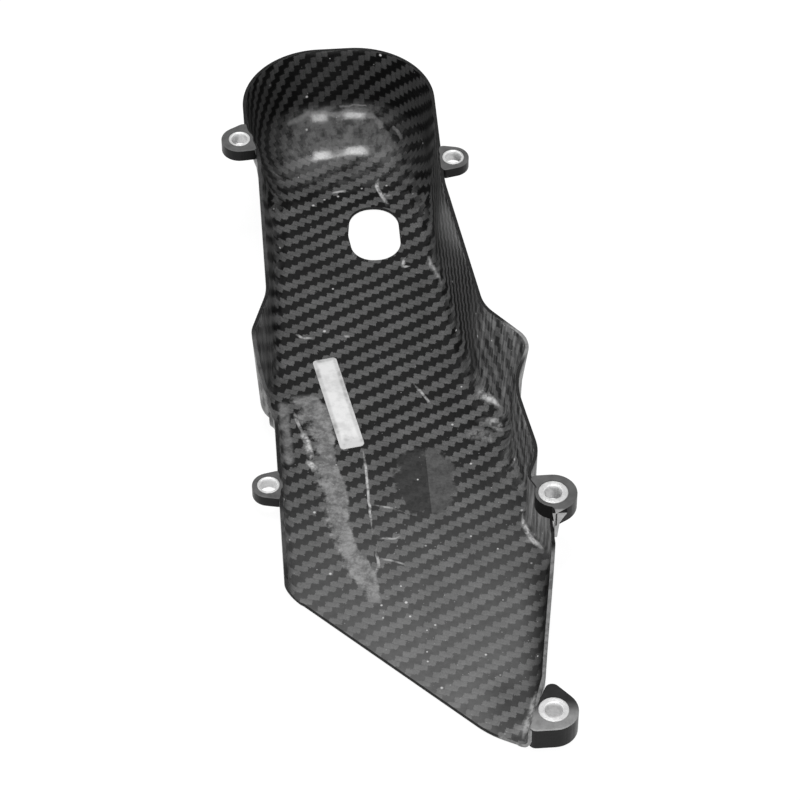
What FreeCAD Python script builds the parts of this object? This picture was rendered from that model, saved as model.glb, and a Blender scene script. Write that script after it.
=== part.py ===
# Belt cover for a motorbike engine: an open carbon shell with five screw ears, metal sleeves in the
# ears and a stuck-on label. It lies on its flat outer face with the hollow upwards: +Z is up, +Y runs
# along the cover towards its round end, and the origin is the middle of the bottom. Millimetres.
import FreeCAD, Part
import math
import os

from FreeCAD import Vector

# Driving dimensions
SIZES = {
    # Laminate
    "wall": 1.2,
    "cut_margin": 12.0,
    # Round end, which covers a belt wheel
    "end_half_width": 31.1,
    "end_corner": 26.0,
    "end_x": -10.9,
    "end_y": 100.6,
    "end_foot": 16.0,
    # Left side: a step in from the round end, then a straight wall with a shallow lobe
    "shoulder_drop": 5.1,
    "shoulder_run": 12.0,
    "shoulder_step": 3.4,
    "left_blend": 16.0,
    "left_lobe_top_y": 21.0,
    "left_lobe_tip_y": 1.0,
    "left_lobe_bulge": 6.8,
    "left_lobe_end_y": -5.0,
    # Right side: a wall that flares, a lobe, a waist, a notch at the ear and a low straight wall
    "flare_drop": 34.6,
    "flare_blend": 40.0,
    "lobe_root_x": 27.4,
    "lobe_root_y": 10.5,
    "lobe_tip_x": 41.2,
    "lobe_tip_y": -6.4,
    "lobe_round": 9.0,
    "waist_x": 34.4,
    "waist_y": -18.5,
    "waist_blend": 14.0,
    "hip_x": 40.0,
    "hip_y": -40.0,
    "notch_x": 36.0,
    "notch_y": -46.5,
    "notch_blend": 4.0,
    "low_wall_x": 43.0,
    "low_wall_y": -61.0,
    "low_wall_end_x": 35.0,
    "low_wall_end_y": -112.5,
    "tail_x": 22.0,
    "tail_y": -150.0,
    # Rounding where walls meet the floor
    "foot": 6.0,
    "shoulder_foot": 14.0,
    "lobe_foot": 8.0,
    "low_foot": 4.5,
    "notch_foot": 3.5,
    # Heights of the rim, deep around the belt wheel and low around the tray
    "rim_deep": 37.0,
    "rim_low": 8.0,
    "rim_ear": 22.0,
    "rim_left_fall_y": 3.0,
    "rim_left_low_y": -4.5,
    "rim_right_fall_y": -10.0,
    "rim_ear_y": -45.0,
    "rim_step_y": -58.0,
    "rim_step_run": 2.0,
    "rim_split_x": -6.0,
    # Open lower edge, cut straight across the floor
    "edge_left_y": -68.8,
    "edge_knee_x": 17.0,
    "edge_knee_y": -126.0,
    "edge_end_x": 27.0,
    "edge_end_y": -131.3,
    # Ears and their sleeves
    "ear_small": 5.0,
    "ear_medium": 5.8,
    "ear_large": 7.2,
    "ear_reach": 5.0,
    "sleeve_small": 3.5,
    "sleeve_large": 4.5,
    "sleeve_bore": 2.65,
    "sleeve_chamfer": 0.4,
    "sleeve_proud": 0.2,
    "seat_clearance": 0.02,
    "collar": 1.0,
    "upper_left_out": 5.1,
    "upper_left_drop": 10.3,
    "upper_left_thick": 4.5,
    "upper_right_out": 3.5,
    "upper_right_drop": 23.9,
    "upper_right_thick": 4.0,
    "mid_left_out": 2.8,
    "mid_left_y": -32.4,
    "mid_left_thick": 4.2,
    "mid_right_out": 6.3,
    "mid_right_drop": 7.6,
    "mid_right_thick": 6.0,
    "lower_right_out": 0.4,
    "lower_right_drop": 12.0,
    "lower_right_top": 8.5,
    # Gusset under the middle right ear, clear of the screw's head
    "gusset_thick": 1.6,
    "gusset_drop": 6.0,
    "gusset_out": 4.0,
    # Inspection hole and label
    "hole_off": 9.4,
    "hole_drop": 20.1,
    "hole_width": 16.8,
    "hole_length": 24.4,
    "hole_tuck": 1.4,
    "label_x": -17.9,
    "label_y": 6.0,
    "label_width": 7.6,
    "label_length": 38.6,
    "label_thick": 0.25,
    "label_corner": 1.2,
    "label_angle": 9.8,
}

# Points closer than this are the same point
SAME_PLACE = 0.01

doc = FreeCAD.newDocument("belt_cover")
sheet = doc.addObject("Spreadsheet::Sheet", "sizes")
for row, (alias, value) in enumerate(SIZES.items(), 1):
    sheet.set("A%d" % row, alias)
    sheet.set("B%d" % row, str(value))
    sheet.setAlias("B%d" % row, alias)
doc.recompute()


def size(alias):
    """One driving dimension, read from the sheet."""
    return float(getattr(sheet, alias))


# Places that belong together are sums of sizes, each named with its sign
LEFT_WALL = ["end_x", "-end_half_width", "shoulder_step"]
RIGHT_WALL = ["end_x", "end_half_width"]


def total(terms):
    """The value of a sum of sizes."""
    return sum(-size(term[1:]) if term.startswith("-") else size(term) for term in terms)


def formula(terms):
    """The same sum as an expression on the sheet."""
    signed = ["- sizes." + term[1:] if term.startswith("-") else "+ sizes." + term for term in terms]
    return " ".join(signed)[2:]


# Helpers for document objects
def feature(name, shape):
    """An object that holds a shape drawn here from the sheet's sizes."""
    thing = doc.addObject("Part::Feature", name)
    thing.Shape = shape
    return thing


def bind(thing, **expressions):
    """Binds properties to the sheet, with words such as sizes.wall in the expressions."""
    for prop, expression in expressions.items():
        thing.setExpression(prop.replace("__", "."), expression)
    return thing


def extrude(name, base, direction, length):
    """A straight extrusion whose length is an expression."""
    solid = doc.addObject("Part::Extrusion", name)
    solid.Base = base
    solid.DirMode = "Custom"
    solid.Dir = direction
    solid.Solid = True
    return bind(solid, LengthFwd=length)


def cylinder(name, radius, height, place):
    """An upright cylinder: radius, height and place are expressions."""
    solid = doc.addObject("Part::Cylinder", name)
    bind(solid, Radius=radius, Height=height)
    x, y, z = place
    return bind(solid, Placement__Base__x=x, Placement__Base__y=y, Placement__Base__z=z)


def cut(name, base, tool):
    """One solid less another."""
    result = doc.addObject("Part::Cut", name)
    result.Base = base
    result.Tool = tool
    return result


def fuse(name, shapes):
    """Several solids as one."""
    result = doc.addObject("Part::MultiFuse", name)
    result.Shapes = shapes
    result.Refine = True
    return result


# Outlines
def inset(corners, distance):
    """Corners (x, y, radius) of a counter-clockwise outline, drawn a distance inside it."""
    moved = []
    for k, (x, y, radius) in enumerate(corners):
        here = Vector(x, y, 0)
        back = (Vector(*corners[k - 1][:2], 0) - here).normalize()
        ahead = (Vector(*corners[(k + 1) % len(corners)][:2], 0) - here).normalize()
        turn = 1 if ahead.cross(back).z > 0 else -1
        here += (back + ahead).normalize() * (turn * distance / math.sin(back.getAngle(ahead) / 2))
        moved.append((here.x, here.y, radius - turn * distance))
    return moved


def rounded_edges(corners):
    """Edges of a closed outline through corners (x, y, radius), each corner rounded by an arc. Each edge
    comes with the numbers of the corners where it starts and ends."""
    arcs = []
    for k, (x, y, radius) in enumerate(corners):
        here = Vector(x, y, 0)
        back = (Vector(*corners[k - 1][:2], 0) - here).normalize()
        ahead = (Vector(*corners[(k + 1) % len(corners)][:2], 0) - here).normalize()
        half = back.getAngle(ahead) / 2
        run = radius / math.tan(half)
        middle = here + (back + ahead).normalize() * (radius / math.sin(half) - radius)
        arcs.append((here + back * run, middle, here + ahead * run))
    edges = []
    for k, (first, middle, last) in enumerate(arcs):
        following = (k + 1) % len(arcs)
        edges.append((Part.Arc(first, middle, last).toShape(), k, k))
        edges.append((Part.makeLine(last, arcs[following][0]), k, following))
    return edges


def face_of(edges):
    """A flat face inside a closed run of edges."""
    return Part.Face(Part.Wire([edge for edge, start, end in edges]))


def polygon(points):
    """A flat face inside straight lines through points."""
    return Part.Face(Part.makePolygon(points + points[:1]))


def end_top():
    """How far the round end reaches along the cover."""
    return size("end_y") + size("end_half_width")


def plan_corners():
    """The shell's outline from above: x, y, corner radius, and the rounding at the wall's foot."""
    half_width, end_corner, end_foot = size("end_half_width"), size("end_corner"), size("end_foot")
    right_x, shoulder_x = total(RIGHT_WALL), size("end_x") - half_width
    left_x, blend, foot = total(LEFT_WALL), size("left_blend"), size("foot")
    shoulder_y = size("end_y") - size("shoulder_drop")
    low_foot = size("low_foot")
    notch, notch_foot = size("notch_blend"), size("notch_foot")
    lobe, lobe_foot, waist = size("lobe_round"), size("lobe_foot"), size("waist_blend")
    return [
        (right_x, end_top(), end_corner, end_foot),
        (shoulder_x, end_top(), end_corner, end_foot),
        (shoulder_x, shoulder_y, blend, size("shoulder_foot")),
        (left_x, shoulder_y - size("shoulder_run"), blend, foot),
        (left_x, size("left_lobe_top_y"), blend, foot),
        (left_x - size("left_lobe_bulge"), size("left_lobe_tip_y"), lobe, foot),
        (left_x, size("left_lobe_end_y"), notch, low_foot),
        (left_x, size("tail_y"), lobe, low_foot),
        (size("tail_x"), size("tail_y"), lobe, low_foot),
        (size("low_wall_end_x"), size("low_wall_end_y"), lobe, notch_foot),
        (size("low_wall_x"), size("low_wall_y"), notch, notch_foot),
        (size("notch_x"), size("notch_y"), notch, notch_foot),
        (size("hip_x"), size("hip_y"), lobe, notch_foot),
        (size("waist_x"), size("waist_y"), waist, lobe_foot),
        (size("lobe_tip_x"), size("lobe_tip_y"), lobe, lobe_foot),
        (size("lobe_root_x"), size("lobe_root_y"), waist, foot),
        (right_x, size("end_y") - size("flare_drop"), size("flare_blend"), foot),
    ]


def rounded_block(name, inside, level):
    """The plan drawn a distance inside itself, extruded from a level up past the rim, its foot rounded."""
    corners = plan_corners()
    edges = rounded_edges(inset([corner[:3] for corner in corners], inside))
    for edge, start, end in edges:
        edge.translate(Vector(0, 0, level))
    height = "sizes.rim_deep + sizes.cut_margin"
    block = extrude(name + "_block", feature(name + "_plan", face_of(edges)), Vector(0, 0, 1), height)
    doc.recompute()
    feet = [corner[3] - inside for corner in corners]
    rounding = []
    for number, edge in enumerate(block.Shape.Edges, 1):
        if edge.BoundBox.ZMax > level + SAME_PLACE:
            continue
        middle = edge.CenterOfMass
        drawn, start, end = min(edges, key=lambda item: item[0].CenterOfMass.distanceToPoint(middle))
        if edge.firstVertex().Point.distanceToPoint(drawn.firstVertex().Point) > SAME_PLACE:
            start, end = end, start
        rounding.append((number, feet[start], feet[end]))
    form = doc.addObject("Part::Fillet", name)
    form.Base = block
    form.Edges = rounding
    return form


# Rim and open edge
def rim_cutter(side, heights, start, length):
    """Everything above one side's rim: heights are (y, z) points from the round end to the tail."""
    above = size("rim_deep") + 2 * size("cut_margin")
    first, last = heights[0][0], heights[-1][0]
    points = [Vector(start, y, z) for y, z in heights + [(last, above), (first, above)]]
    profile = feature(side + "_rim_profile", polygon(points))
    return extrude(side + "_rim_cutter", profile, Vector(1, 0, 0), length)


def rim_cutters():
    """The left and right sides' cutters, which part at a line inside the hollow."""
    margin = size("cut_margin")
    front = end_top() + margin
    tail = size("tail_y") - margin
    deep, low = size("rim_deep"), size("rim_low")
    left = [
        (front, deep),
        (size("rim_left_fall_y"), deep),
        (size("rim_left_low_y"), low),
        (tail, low),
    ]
    right = [
        (front, deep),
        (size("rim_right_fall_y"), deep),
        (size("rim_ear_y"), size("rim_ear")),
        (size("rim_step_y"), size("rim_ear")),
        (size("rim_step_y") - size("rim_step_run"), low),
        (tail, low),
    ]
    far_left = size("end_x") - size("end_half_width") - 2 * margin
    reach = "sizes.low_wall_x + 2 * sizes.cut_margin - sizes.rim_split_x"
    return [
        rim_cutter("left", left, far_left, "sizes.rim_split_x - (%r)" % far_left),
        rim_cutter("right", right, size("rim_split_x"), reach),
    ]


def edge_cutter():
    """Everything past the open lower edge, which runs straight and turns once near the lower right ear."""
    margin = size("cut_margin")
    beyond = size("tail_y") - margin
    left_x = total(LEFT_WALL)
    slope = (size("edge_knee_y") - size("edge_left_y")) / (size("edge_knee_x") - left_x)
    points = [
        Vector(left_x - margin, size("edge_left_y") - slope * margin, -margin),
        Vector(size("edge_knee_x"), size("edge_knee_y"), -margin),
        Vector(size("edge_end_x"), size("edge_end_y"), -margin),
        Vector(size("low_wall_x") + margin, size("edge_end_y"), -margin),
        Vector(size("low_wall_x") + margin, beyond, -margin),
        Vector(left_x - margin, beyond, -margin),
    ]
    return extrude("edge_cutter", feature("edge_plan", polygon(points)), Vector(0, 0, 1),
                   "sizes.rim_deep + 2 * sizes.cut_margin")


# Where each ear's sleeve stands: from the wall, the round end, the notch or the low wall beside it
PLACES = {
    "upper_left": (LEFT_WALL + ["-upper_left_out"], ["end_y", "-upper_left_drop"]),
    "upper_right": (RIGHT_WALL + ["upper_right_out"], ["end_y", "-upper_right_drop"]),
    "mid_left": (LEFT_WALL + ["-mid_left_out"], ["mid_left_y"]),
    "mid_right": (["notch_x", "mid_right_out"], ["notch_y", "-mid_right_drop"]),
    "lower_right": (["low_wall_end_x", "lower_right_out"], ["low_wall_end_y", "-lower_right_drop"]),
}

# Ears: name, radius and sleeve sizes, top and thickness, then the way out and half the angle of the sides
EARS = [
    ("upper_left", "ear_medium", "sleeve_small", "rim_deep", "upper_left_thick", 197, 12),
    ("upper_right", "ear_small", "sleeve_small", "rim_deep", "upper_right_thick", 0, 12),
    ("mid_left", "ear_small", "sleeve_small", "rim_low", "mid_left_thick", 180, 12),
    ("mid_right", "ear_large", "sleeve_large", "rim_ear", "mid_right_thick", 15, 15),
    ("lower_right", "ear_large", "sleeve_large", "lower_right_top", "lower_right_top", -25, 25),
]


def ear(name, radius, top, thick, heading, flare):
    """A flat ear: a rounded tip around the sleeve, widening back into the wall."""
    way = math.radians(heading)
    out = Vector(math.cos(way), math.sin(way), 0)
    side = Vector(-out.y, out.x, 0)
    across, along = PLACES[name]
    centre = Vector(total(across), total(along), size(top) - size(thick))
    tip = size(radius) / math.sin(math.radians(flare))
    half_base = (tip + size("ear_reach")) * math.tan(math.radians(flare))
    apex = out * tip
    root = out * -size("ear_reach")
    corners = [
        (apex.x, apex.y, size(radius)),
        ((root + side * half_base).x, (root + side * half_base).y, size("wall")),
        ((root - side * half_base).x, (root - side * half_base).y, size("wall")),
    ]
    plan = face_of(rounded_edges(corners))
    plan.translate(centre)
    return extrude(name + "_ear", feature(name + "_ear_plan", plan), Vector(0, 0, 1), "sizes." + thick)


def upright(name, label, radius, top, thick, extra=""):
    """A cylinder on an ear's axis, from the ear's underside to its top."""
    across, along = PLACES[name]
    place = (formula(across), formula(along), "sizes.%s - sizes.%s" % (top, thick))
    return cylinder(name + label, radius, "sizes." + thick + extra, place)


def gusset():
    """A triangular web that carries the middle right ear on the low wall."""
    across, along = PLACES["mid_right"]
    y = total(along) - size("gusset_drop")
    inside = total(across) - size("wall")
    under = size("rim_ear") - size("mid_right_thick") + size("wall")
    points = [
        Vector(inside, y, size("rim_low") - size("wall")),
        Vector(total(across) + size("gusset_out"), y, under),
        Vector(inside, y, under),
    ]
    profile = feature("gusset_profile", polygon(points))
    return extrude("gusset", profile, Vector(0, 1, 0), "sizes.gusset_thick")


def inspection_hole():
    """An oval through the floor: round on its left, flatter on its right."""
    half_width, half_length = size("hole_width") / 2, size("hole_length") / 2
    tuck = size("hole_tuck")
    corners = [
        (half_width, half_length, half_width - tuck),
        (tuck - half_width, half_length, half_width - tuck),
        (-half_width, 0.0, half_length),
        (tuck - half_width, -half_length, half_width - tuck),
        (half_width, -half_length, half_width - tuck),
    ]
    plan = face_of(rounded_edges(corners))
    plan.translate(Vector(total(["end_x", "hole_off"]), total(["end_y", "-hole_drop"]), -size("wall")))
    return extrude("inspection_hole", feature("hole_plan", plan), Vector(0, 0, 1), "3 * sizes.wall")


def cover_shell():
    """The moulded shell: a rounded block cut to its rim, with ears, hollowed and drilled."""
    outer = rounded_block("outer_form", 0.0, 0.0)
    cavity = rounded_block("cavity", size("wall"), size("wall"))
    trimmed = cut("trimmed_form", outer, fuse("trim_tools", rim_cutters() + [edge_cutter()]))
    ears = [ear(name, radius, top, thick, heading, flare)
            for name, radius, sleeve, top, thick, heading, flare in EARS]
    hollow = cut("hollow_form", fuse("eared_form", [trimmed] + ears + [gusset()]), cavity)
    collars = [upright(name, "_collar", "sizes.%s + sizes.collar" % sleeve, top, thick)
               for name, radius, sleeve, top, thick, heading, flare in EARS]
    seats = [upright(name, "_seat", "sizes.%s + sizes.seat_clearance" % sleeve, top, thick)
             for name, radius, sleeve, top, thick, heading, flare in EARS]
    collared = fuse("collared_form", [hollow] + collars)
    return cut("cover_shell", collared, fuse("holes", seats + [inspection_hole()]))


def sleeve(name, outside, top, thick):
    """A turned sleeve with a drilled bore and a chamfered mouth."""
    body = upright(name, "_sleeve_body", "sizes." + outside, top, thick, " + sizes.sleeve_proud")
    bore = upright(name, "_sleeve_bore", "sizes.sleeve_bore", top, thick, " + sizes.sleeve_proud")
    mouth = doc.addObject("Part::Cone", name + "_sleeve_mouth")
    across, along = PLACES[name]
    bind(mouth, Radius1="sizes.sleeve_bore", Radius2="sizes.sleeve_bore + sizes.sleeve_chamfer",
         Height="sizes.sleeve_chamfer", Placement__Base__x=formula(across), Placement__Base__y=formula(along),
         Placement__Base__z="sizes.%s + sizes.sleeve_proud - sizes.sleeve_chamfer" % top)
    return cut(name + "_sleeve", body, fuse(name + "_sleeve_drill", [bore, mouth]))


def blank_label():
    """The stuck-on label: a thin plate with rounded corners, turned on the floor."""
    half_width, half_length = size("label_width") / 2, size("label_length") / 2
    corner = size("label_corner")
    signs = [(1, 1), (-1, 1), (-1, -1), (1, -1)]
    plan = face_of(rounded_edges([(sx * half_width, sy * half_length, corner) for sx, sy in signs]))
    plan.rotate(Vector(), Vector(0, 0, 1), size("label_angle"))
    plan.translate(Vector(size("label_x"), size("label_y"), size("wall")))
    return extrude("blank_label", feature("label_plan", plan), Vector(0, 0, 1), "sizes.label_thick")


nodes = [cover_shell()]
nodes += [sleeve(name, outside, top, thick) for name, radius, outside, top, thick, heading, flare in EARS]
nodes.append(blank_label())
doc.recompute()

# Nothing is written unless every object is sound
for thing in doc.Objects:
    if "Invalid" in thing.State or "Error" in thing.State:
        raise RuntimeError("%s did not build: %s" % (thing.Label, thing.State))
for node in nodes:
    if node.Shape.isNull() or not node.Shape.isValid() or len(node.Shape.Solids) != 1:
        raise RuntimeError("%s is not one sound solid" % node.Label)

os.makedirs("parts", exist_ok=True)
for node in nodes:
    node.Shape.exportStep("parts/%s.step" % node.Label)
    print(node.Label, round(node.Shape.Volume), node.Shape.BoundBox)
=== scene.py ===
import math

import bmesh
import bpy
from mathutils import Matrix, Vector, kdtree, noise
from mathutils.geometry import delaunay_2d_cdt


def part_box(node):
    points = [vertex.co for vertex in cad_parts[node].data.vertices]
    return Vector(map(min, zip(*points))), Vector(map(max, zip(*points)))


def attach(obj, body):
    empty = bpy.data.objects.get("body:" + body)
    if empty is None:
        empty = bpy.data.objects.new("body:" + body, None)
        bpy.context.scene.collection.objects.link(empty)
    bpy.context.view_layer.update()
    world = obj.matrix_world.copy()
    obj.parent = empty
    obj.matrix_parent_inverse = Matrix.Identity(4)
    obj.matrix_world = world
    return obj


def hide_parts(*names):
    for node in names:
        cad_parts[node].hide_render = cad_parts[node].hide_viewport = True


MM = 0.001
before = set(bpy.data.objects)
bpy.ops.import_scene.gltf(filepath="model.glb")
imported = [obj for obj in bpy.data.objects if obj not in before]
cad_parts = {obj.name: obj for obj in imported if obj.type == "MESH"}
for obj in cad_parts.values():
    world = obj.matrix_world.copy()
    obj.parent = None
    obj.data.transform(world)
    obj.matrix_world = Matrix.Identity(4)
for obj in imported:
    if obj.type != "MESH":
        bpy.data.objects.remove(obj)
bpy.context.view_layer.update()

# Laminate
WALL = 1.2
EDGE_ROUND = 0.3
RIM_DEEP, RIM_EAR, RIM_LOW = 37.0, 22.0, 8.0
RIM_SPLIT_X = -6.0
RIM_SOFT = 2.4
WALL_RISE = 7.0

# Fineness of the mesh: steps along outlines and over the floor, least radius that arcs are stepped for, rows
# up the walls, points round a seat and a sleeve, the gap closed between points, and the turn that stays sharp
STEP, FLOOR_STEP, LEAST_ARC = 1.2, 3.0, 6.0
FOOT_ROWS, WALL_ROWS = 9, 9
SEAT_POINTS, SLEEVE_POINTS = 40, 72
CLOSE_GAP = 0.004
SHARP_TURN = math.radians(38)

# Side walls from the lower right end, up the right side, round the end and down the left side:
# x, y, plan radius, rounding at the foot, and how far the foot leans in
WALL_START = (28.5, -131.3)
WALL_CORNERS = [
    (35.0, -112.5, 9.0, 4.5, 0.8),
    (43.0, -61.0, 4.0, 3.5, 0.3),
    (36.0, -46.5, 4.0, 3.5, 0.0),
    (40.0, -40.0, 9.0, 3.5, 0.4),
    (34.4, -18.5, 14.0, 8.0, 1.0),
    (41.2, -6.4, 9.0, 4.5, 4.3),
    (27.4, 10.5, 14.0, 8.0, 1.4),
    (20.2, 66.0, 40.0, 6.0, 1.2),
    (20.2, 131.7, 26.0, 16.0, 2.0),
    (-42.0, 131.7, 26.0, 16.0, 4.0),
    (-42.0, 95.5, 21.0, 12.0, 7.5),
    (-38.6, 83.5, 16.0, 8.0, 3.0),
    (-38.6, 21.0, 18.0, 5.0, 0.8),
    (-45.4, 1.0, 9.0, 6.0, 2.2),
    (-38.6, -5.0, 4.0, 4.5, 0.4),
]
WALL_END = (-38.6, -68.8)
FOOT_ENDS = (3.5, 4.5)
EDGE_KNEE = (17.0, -126.0)
KNEE_ROUND = 30.0
EDGE_TURN = (27.0, -131.3)

# Heights of the rim along the cover
RIGHT_RIM = [(-60.0, RIM_LOW), (-58.0, RIM_EAR), (-45.0, RIM_EAR), (-10.0, RIM_DEEP)]
LEFT_RIM = [(-4.5, RIM_LOW), (3.0, RIM_DEEP)]

# Inspection hole: centre, and corners with radii around it
HOLE_PLACE = (-1.5, 80.5)
HOLE_CORNERS = [
    (8.4, 12.2, 8.0), (-7.0, 12.2, 7.4), (-8.4, 0.0, 12.2), (-7.0, -12.0, 7.4), (8.4, -12.0, 8.0),
]

# Ears: x, y, tip radius, sleeve radius, top, thickness, way out and half angle of the sides in degrees
EARS = {
    "upper_left": (-43.7, 90.3, 5.8, 3.5, RIM_DEEP, 4.5, 197, 12),
    "upper_right": (23.7, 76.7, 5.0, 3.5, RIM_DEEP, 4.0, 0, 12),
    "mid_left": (-41.4, -32.4, 5.0, 3.5, RIM_LOW, 4.2, 180, 12),
    "mid_right": (42.3, -54.1, 7.2, 4.5, RIM_EAR, 6.0, 15, 15),
    "lower_right": (35.4, -124.5, 7.2, 4.5, 8.5, 8.5, -25, 25),
}
EAR_REACH = 5.0
EAR_PROUD = 0.1
EAR_ROOT = 2.2
COLLAR = 1.0
SEAT_CLEARANCE = 0.02
EAR_SUNK = 0.6 * WALL
SLEEVE_BORE, SLEEVE_CORNER = 2.65, 0.4

# Gusset that carries the middle right ear on the low wall: corners (x, z) of its front, its y and thickness
GUSSET_FRONT = [(42.2, 11.0), (42.9, 11.0), (43.5, 17.5), (45.6, 21.8), (41.2, 21.8), (41.9, 17.5)]
GUSSET_Y, GUSSET_THICK = -62.2, 3.0

# Kinds of surface: moulded cloth, cut edge, rubbed ear face, bare resin painted near black as painted shade
CLOTH, EDGE, FACE, RESIN_SHADE = 0, 1, 2, 3
KIND_NAMES = {"cut_edge": EDGE, "rubbed_face": FACE, "shaded_resin": RESIN_SHADE}

# Scratches and scuffs, three of them painted highlights at the foot of walls: places along each, half width
# and strength
MARKS = [
    ([(-32.0, 3.3, WALL), (-31.1, -0.8, WALL), (-29.9, -4.9, WALL)], 0.6, 0.55),
    ([(-29.9, -4.9, WALL), (-28.6, -9.2, WALL), (-28.0, -14.2, WALL), (-27.6, -17.0, WALL)], 1.3, 1.0),
    ([(-28.8, -17.5, WALL), (-26.6, -20.8, WALL)], 1.2, 0.85),
    ([(-11.6, -14.2, WALL), (-11.2, -22.5, WALL), (-11.2, -34.8, WALL), (-11.1, -46.8, WALL)], 0.5, 0.65),
    ([(-10.5, -55.2, WALL), (-10.0, -60.7, WALL), (-11.5, -64.5, WALL)], 0.55, 0.5),
    ([(-9.5, -36.9, WALL), (-2.7, -39.4, WALL)], 0.45, 0.45),
    ([(-9.6, -50.5, WALL), (-2.9, -50.6, WALL)], 0.45, 0.4),
    ([(-9.5, -58.0, WALL), (-1.4, -61.4, WALL)], 0.45, 0.35),
    ([(6.5, 11.9, WALL), (9.0, 7.0, WALL), (11.1, 3.0, WALL)], 0.55, 0.55),
    ([(1.9, 106.2, WALL), (0.9, 102.7, WALL), (2.3, 98.5, WALL), (4.1, 93.4, WALL)], 0.8, 0.8),
    ([(3.7, 101.6, WALL), (3.2, 97.6, WALL)], 0.55, 0.6),
    ([(-14.3, 100.4, WALL), (-8.4, 101.7, WALL)], 0.55, 0.6),
    ([(7.4, 68.0, WALL), (6.2, 63.0, WALL)], 0.6, 0.7),
    ([(6.4, 64.0, WALL), (9.1, 65.1, WALL)], 0.6, 0.6),
    ([(-29.3, 36.9, WALL), (-27.5, 35.0, WALL), (-25.0, 34.6, WALL)], 0.6, 0.6),
    ([(-14.5, 34.9, WALL), (-11.7, 34.3, WALL)], 0.6, 0.55),
    ([(-33.6, 106.6, 5.0), (-17.7, 108.4, WALL)], 0.8, 0.35),
    # Painted highlight where the floor turns up into the right lobe's wall
    ([(26.1, 6.4, 4.1), (27.1, 4.0, 3.4), (29.7, 1.4, 4.1), (31.8, -2.3, 4.3)], 1.4, 1.0),
    ([(27.7, -3.8, WALL), (29.9, -6.5, WALL), (31.2, -9.3, 1.4)], 2.2, 0.55),
    ([(22.1, -10.1, WALL), (24.9, -9.9, WALL), (27.2, -11.7, WALL), (28.6, -13.6, 1.3)], 0.8, 0.45),
    # Painted highlight along the foot by the scoop of the middle right ear
    ([(34.4, -44.0, 1.3), (34.7, -48.7, 1.6), (36.0, -53.3, 1.3), (37.8, -56.3, 1.5), (39.6, -59.1, 1.8)],
     0.9, 0.75),
    # Painted highlight along the foot of the right wall
    ([(14.9, 68.9, 1.6), (16.6, 61.2, 2.2), (18.5, 53.6, 3.3)], 0.7, 0.6),
    ([(32.6, -112.0, 1.8), (30.0, -119.5, 1.8), (26.2, -128.5, 1.6)], 1.7, 0.5),
]
# Where the rim is rubbed pale: least and greatest x and y, and how pale
RUBBED_RIMS = [
    (20.0, 60.0, -140.0, -62.0, 0.75),
    (30.0, 60.0, -14.0, 4.0, 0.9),
    (-60.0, -30.0, -8.0, 6.0, 0.3),
    (-60.0, -30.0, 28.0, 84.0, 0.15),
    (-60.0, -30.0, -66.0, -40.0, 0.2),
]
RUB_SOFT = 5.0
MARK_STEP = 0.6
MARK_SWAY = 0.4
SWAY_SEED = 5
noise.seed_set(SWAY_SEED)


# Plan outlines
def rounded(corners, closed, start=None, end=None):
    """Points along corners rounded by arcs: place, way along, and share of the way from corner to corner."""
    spots = [Vector(c[:2]) for c in corners]
    if not closed:
        spots = [Vector(start)] + spots + [Vector(end)]
    count = len(spots)
    bends = []
    for k, here in enumerate(spots):
        if not closed and k in (0, count - 1):
            bends.append((here, here, here, 0.0, 0.0, 0.0))
            continue
        radius = corners[k if closed else k - 1][2]
        back = (spots[k - 1] - here).normalized()
        ahead = (spots[(k + 1) % count] - here).normalized()
        half = back.angle(ahead) / 2
        centre = here + (back + ahead).normalized() * (radius / math.sin(half))
        first = here + back * (radius / math.tan(half))
        sweep = math.pi - 2 * half
        turn = 1 if back.cross(ahead) < 0 else -1
        bends.append((first, here + ahead * (radius / math.tan(half)), centre, sweep * turn, radius, half))
    points = []
    for k in range(count if closed else count - 1):
        first, last, centre, sweep, radius, half = bends[k]
        if radius:
            steps = max(3, math.ceil(abs(sweep) * max(radius, LEAST_ARC) / STEP))
            arm = first - centre
            for i in range(steps + 1):
                angle = sweep * i / steps
                arm_here = Vector((arm.x * math.cos(angle) - arm.y * math.sin(angle),
                                   arm.x * math.sin(angle) + arm.y * math.cos(angle)))
                way = Vector((-arm_here.y, arm_here.x)).normalized() * (1 if sweep > 0 else -1)
                points.append((centre + arm_here, way, k + 0.0))
        nearest = bends[(k + 1) % count][0]
        run = nearest - last
        steps = max(1, math.ceil(run.length / STEP))
        for i in range(1, steps):
            points.append((last + run * (i / steps), run.normalized(), k + i / steps))
    if not closed:
        points.insert(0, (spots[0], (spots[1] - spots[0]).normalized(), 0.0))
        points.append((spots[-1], (spots[-1] - bends[-2][1]).normalized(), count - 1.0))
    return points


def smooth(t):
    """An even ease from 0 to 1."""
    t = min(1.0, max(0.0, t))
    return t * t * (3 - 2 * t)


def along(values, share):
    """A value eased from corner to corner."""
    k = min(int(share), len(values) - 2)
    return values[k] + (values[k + 1] - values[k]) * smooth(share - k)


def line_height(heights, y):
    """Height on straight lines through points from the tail to the round end."""
    if y <= heights[0][0]:
        return heights[0][1]
    for (y0, z0), (y1, z1) in zip(heights, heights[1:]):
        if y <= y1:
            return z0 + (z1 - z0) * (y - y0) / (y1 - y0)
    return heights[-1][1]


def rim_height(x, y):
    """The rim's height, its corners eased over a short way."""
    heights = RIGHT_RIM if x > RIM_SPLIT_X else LEFT_RIM
    spread = [-1.0, -0.5, 0.0, 0.5, 1.0]
    return sum(line_height(heights, y + RIM_SOFT / 2 * s) for s in spread) / len(spread)


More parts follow.
